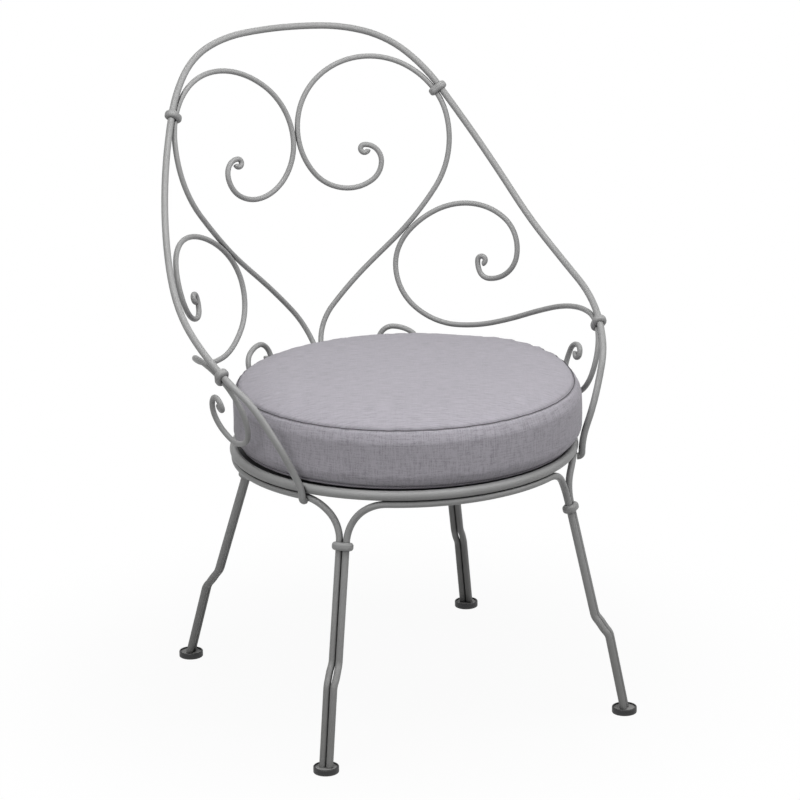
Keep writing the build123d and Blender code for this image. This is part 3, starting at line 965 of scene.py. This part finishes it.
class ARMCHAIR_OT_zip(bpy.types.Operator):
    """Sews the zip into the back of the band: two tapes, a row of teeth, and the slider's metal"""

    bl_idname = "armchair.zip"
    bl_label = "Zip"

    def execute(self, context):
        looks = context.scene.armchair_cushion
        cloth = cord_cloth("zip_cloth", looks.zip_tape, tinted(looks.zip_tape, 0.6), TAPE_TWIST)
        mesh = self.tapes()
        tape = mesh_piece("cushion_zip_tape", mesh, "cushion", cloth)
        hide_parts("cushion_zip")
        coil = cord_cloth("zip_teeth", tinted(looks.zip_tape, 0.7), looks.thread, TOOTH_TWIST)
        mesh = self.teeth()
        mesh_piece("cushion_zip_teeth", mesh, "cushion", coil)
        mesh.shade_flat()
        metal = slider_metal("slider_metal", context.scene.armchair_frame)
        paint(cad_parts["cushion_zip_slider"], metal)
        return {"FINISHED"}

    def tapes(self):
        """Both halves of the tape, thin strips with rolled outer edges."""
        radius = ZIP_RADIUS - TAPE_SINK
        far = (ZIP_HIGH.z - ZIP_LOW.z) / 2
        section = (
            (radius, TAPE_GAP), (radius + TAPE_FACE, TAPE_GAP), (radius + TAPE_FACE, far - TAPE_ROLL),
            (radius + TAPE_EDGE, far), (radius - TAPE_BACK, far), (radius - TAPE_BACK, TAPE_GAP),
        )
        points, faces = [], []
        for side in (-1, 1):
            add_block(points, faces, [
                [spot(r, angle, ZIP_LEVEL + side * z) for r, z in section]
                for angle in np.linspace(-ZIP_HALF, ZIP_HALF, TAPE_STEPS + 1)
            ])
        return closed_mesh("cushion_zip_tape", points, faces)

    def teeth(self):
        """The row of teeth, small blocks with hooked noses that point up and down by turns."""
        half = TOOTH_HALF / ZIP_RADIUS
        count = int(2 * ZIP_HALF * ZIP_RADIUS / TOOTH_PITCH)
        points, faces = [], []
        for i in range(count):
            angle = -ZIP_HALF + 2 * ZIP_HALF * (i + 0.5) / count
            side = 1 if i % 2 else -1
            add_block(points, faces, [
                [spot(r, angle + share * half, ZIP_LEVEL + side * z) for share, z in TOOTH_OUTLINE]
                for r in (ZIP_RADIUS - TOOTH_SINK, ZIP_RADIUS + TOOTH_RISE)
            ])
        return closed_mesh("cushion_zip_teeth", points, faces)


def lamp(context, name, place, wide, power):
    """A square soft box that faces the seat."""
    data = bpy.data.lights.new(name, "AREA")
    data.shape = "SQUARE"
    data.size = wide
    data.energy = power
    light = bpy.data.objects.new(name, data)
    context.scene.collection.objects.link(light)
    light.location = place
    way = AIM - Vector(place)
    light.rotation_mode = "QUATERNION"
    light.rotation_quaternion = way.to_track_quat("-Z", "Y")


class ARMCHAIR_OT_stage(bpy.types.Operator):
    """Sets the pale floor, the lamps, the surroundings and the camera"""

    bl_idname = "armchair.stage"
    bl_label = "Stage"

    def execute(self, context):
        looks = context.scene.armchair_stage
        self.floor(context, looks)
        self.surroundings(context, looks)
        for name, place, wide, power in LAMPS:
            lamp(context, name, place, wide, power)
        self.camera(context, looks)
        context.scene.view_settings.view_transform = "Standard"
        return {"FINISHED"}

    def floor(self, context, looks):
        """A round floor that fades to plain white away from the chair."""
        work = bmesh.new()
        place = Matrix.Translation(FLOOR_MIDDLE)
        bmesh.ops.create_circle(
            work, cap_ends=True, radius=FLOOR_RADIUS, segments=FLOOR_SIDES, matrix=place,
        )
        mesh = bpy.data.meshes.new("floor")
        work.to_mesh(mesh)
        work.free()
        floor = bpy.data.objects.new("floor", mesh)
        context.scene.collection.objects.link(floor)
        finish = Finish("floor_white")
        x, y, _ = finish.split(finish.place())
        flat_place = {0: finish.join(x, y, 0.0)}
        away = finish.node("ShaderNodeVectorMath", {"operation": "LENGTH"}, flat_place, "Value")
        matt = finish.node("ShaderNodeBsdfDiffuse", None, {"Color": (*looks.floor, 1.0)})
        white = finish.node("ShaderNodeEmission", None, {"Color": WHITE, "Strength": 1.0})
        share = finish.seen_rays() * (1.0 - looks.shadow * (1.0 - away.step(0.25, 0.75)))
        both = finish.node("ShaderNodeMixShader", None, {0: share, 1: matt, 2: white})
        mesh.materials.append(finish.close(both))

    def surroundings(self, context, looks):
        """White where it is seen and a dim grey where it only lights."""
        world = bpy.data.worlds.new("studio")
        context.scene.world = world
        world.use_nodes = True
        graph = Graph(world.node_tree)
        level = looks.ambient + (1.0 - looks.ambient) * graph.seen_rays()
        back = graph.node("ShaderNodeBackground", None, {"Color": WHITE, "Strength": level})
        graph.end("ShaderNodeOutputWorld", back)

    def camera(self, context, looks):
        data = bpy.data.cameras.new("camera")
        data.lens = looks.lens
        data.sensor_width = 36.0
        camera = bpy.data.objects.new("camera", data)
        context.scene.collection.objects.link(camera)
        flat = math.cos(looks.elevation)
        back = Vector((
            math.sin(looks.azimuth) * flat, -math.cos(looks.azimuth) * flat, math.sin(looks.elevation),
        ))
        right = Vector((math.cos(looks.azimuth), math.sin(looks.azimuth), 0.0))
        up = back.cross(right)
        level, tilt = math.cos(looks.roll), math.sin(looks.roll)
        turned_right = right * level + up * tilt
        turned_up = up * level - right * tilt
        turn = Matrix((turned_right, turned_up, back)).transposed()
        place = Vector(looks.target) + back * looks.distance
        camera.matrix_world = Matrix.Translation(place) @ turn.to_4x4()
        context.scene.camera = camera


class ARMCHAIR_PT_panel(bpy.types.Panel):
    """Lists the pieces of the armchair"""

    bl_idname = "ARMCHAIR_PT_panel"
    bl_label = "Armchair"
    bl_space_type = "VIEW_3D"
    bl_region_type = "UI"
    bl_category = "Armchair"

    def draw(self, context):
        for operator in OPERATORS:
            self.layout.operator(operator.bl_idname)
        for name, group in GROUPS.items():
            looks = getattr(context.scene, name)
            for key in group.__annotations__:
                self.layout.prop(looks, key)


GROUPS = {
    "armchair_frame": FrameLooks,
    "armchair_cushion": CushionLooks,
    "armchair_stage": StageLooks,
}
OPERATORS = (
    ARMCHAIR_OT_frame, ARMCHAIR_OT_feet, ARMCHAIR_OT_cushion, ARMCHAIR_OT_edges,
    ARMCHAIR_OT_zip, ARMCHAIR_OT_stage,
)


def register():
    for name, group in GROUPS.items():
        bpy.utils.register_class(group)
        setattr(bpy.types.Scene, name, PointerProperty(type=group))
    for operator in OPERATORS:
        bpy.utils.register_class(operator)
    bpy.utils.register_class(ARMCHAIR_PT_panel)


def unregister():
    bpy.utils.unregister_class(ARMCHAIR_PT_panel)
    for operator in reversed(OPERATORS):
        bpy.utils.unregister_class(operator)
    for name, group in GROUPS.items():
        delattr(bpy.types.Scene, name)
        bpy.utils.unregister_class(group)


def main():
    register()
    bpy.ops.armchair.frame()
    bpy.ops.armchair.feet()
    bpy.ops.armchair.cushion()
    bpy.ops.armchair.edges()
    bpy.ops.armchair.zip()
    bpy.ops.armchair.stage()


if __name__ == "__main__":
    main()
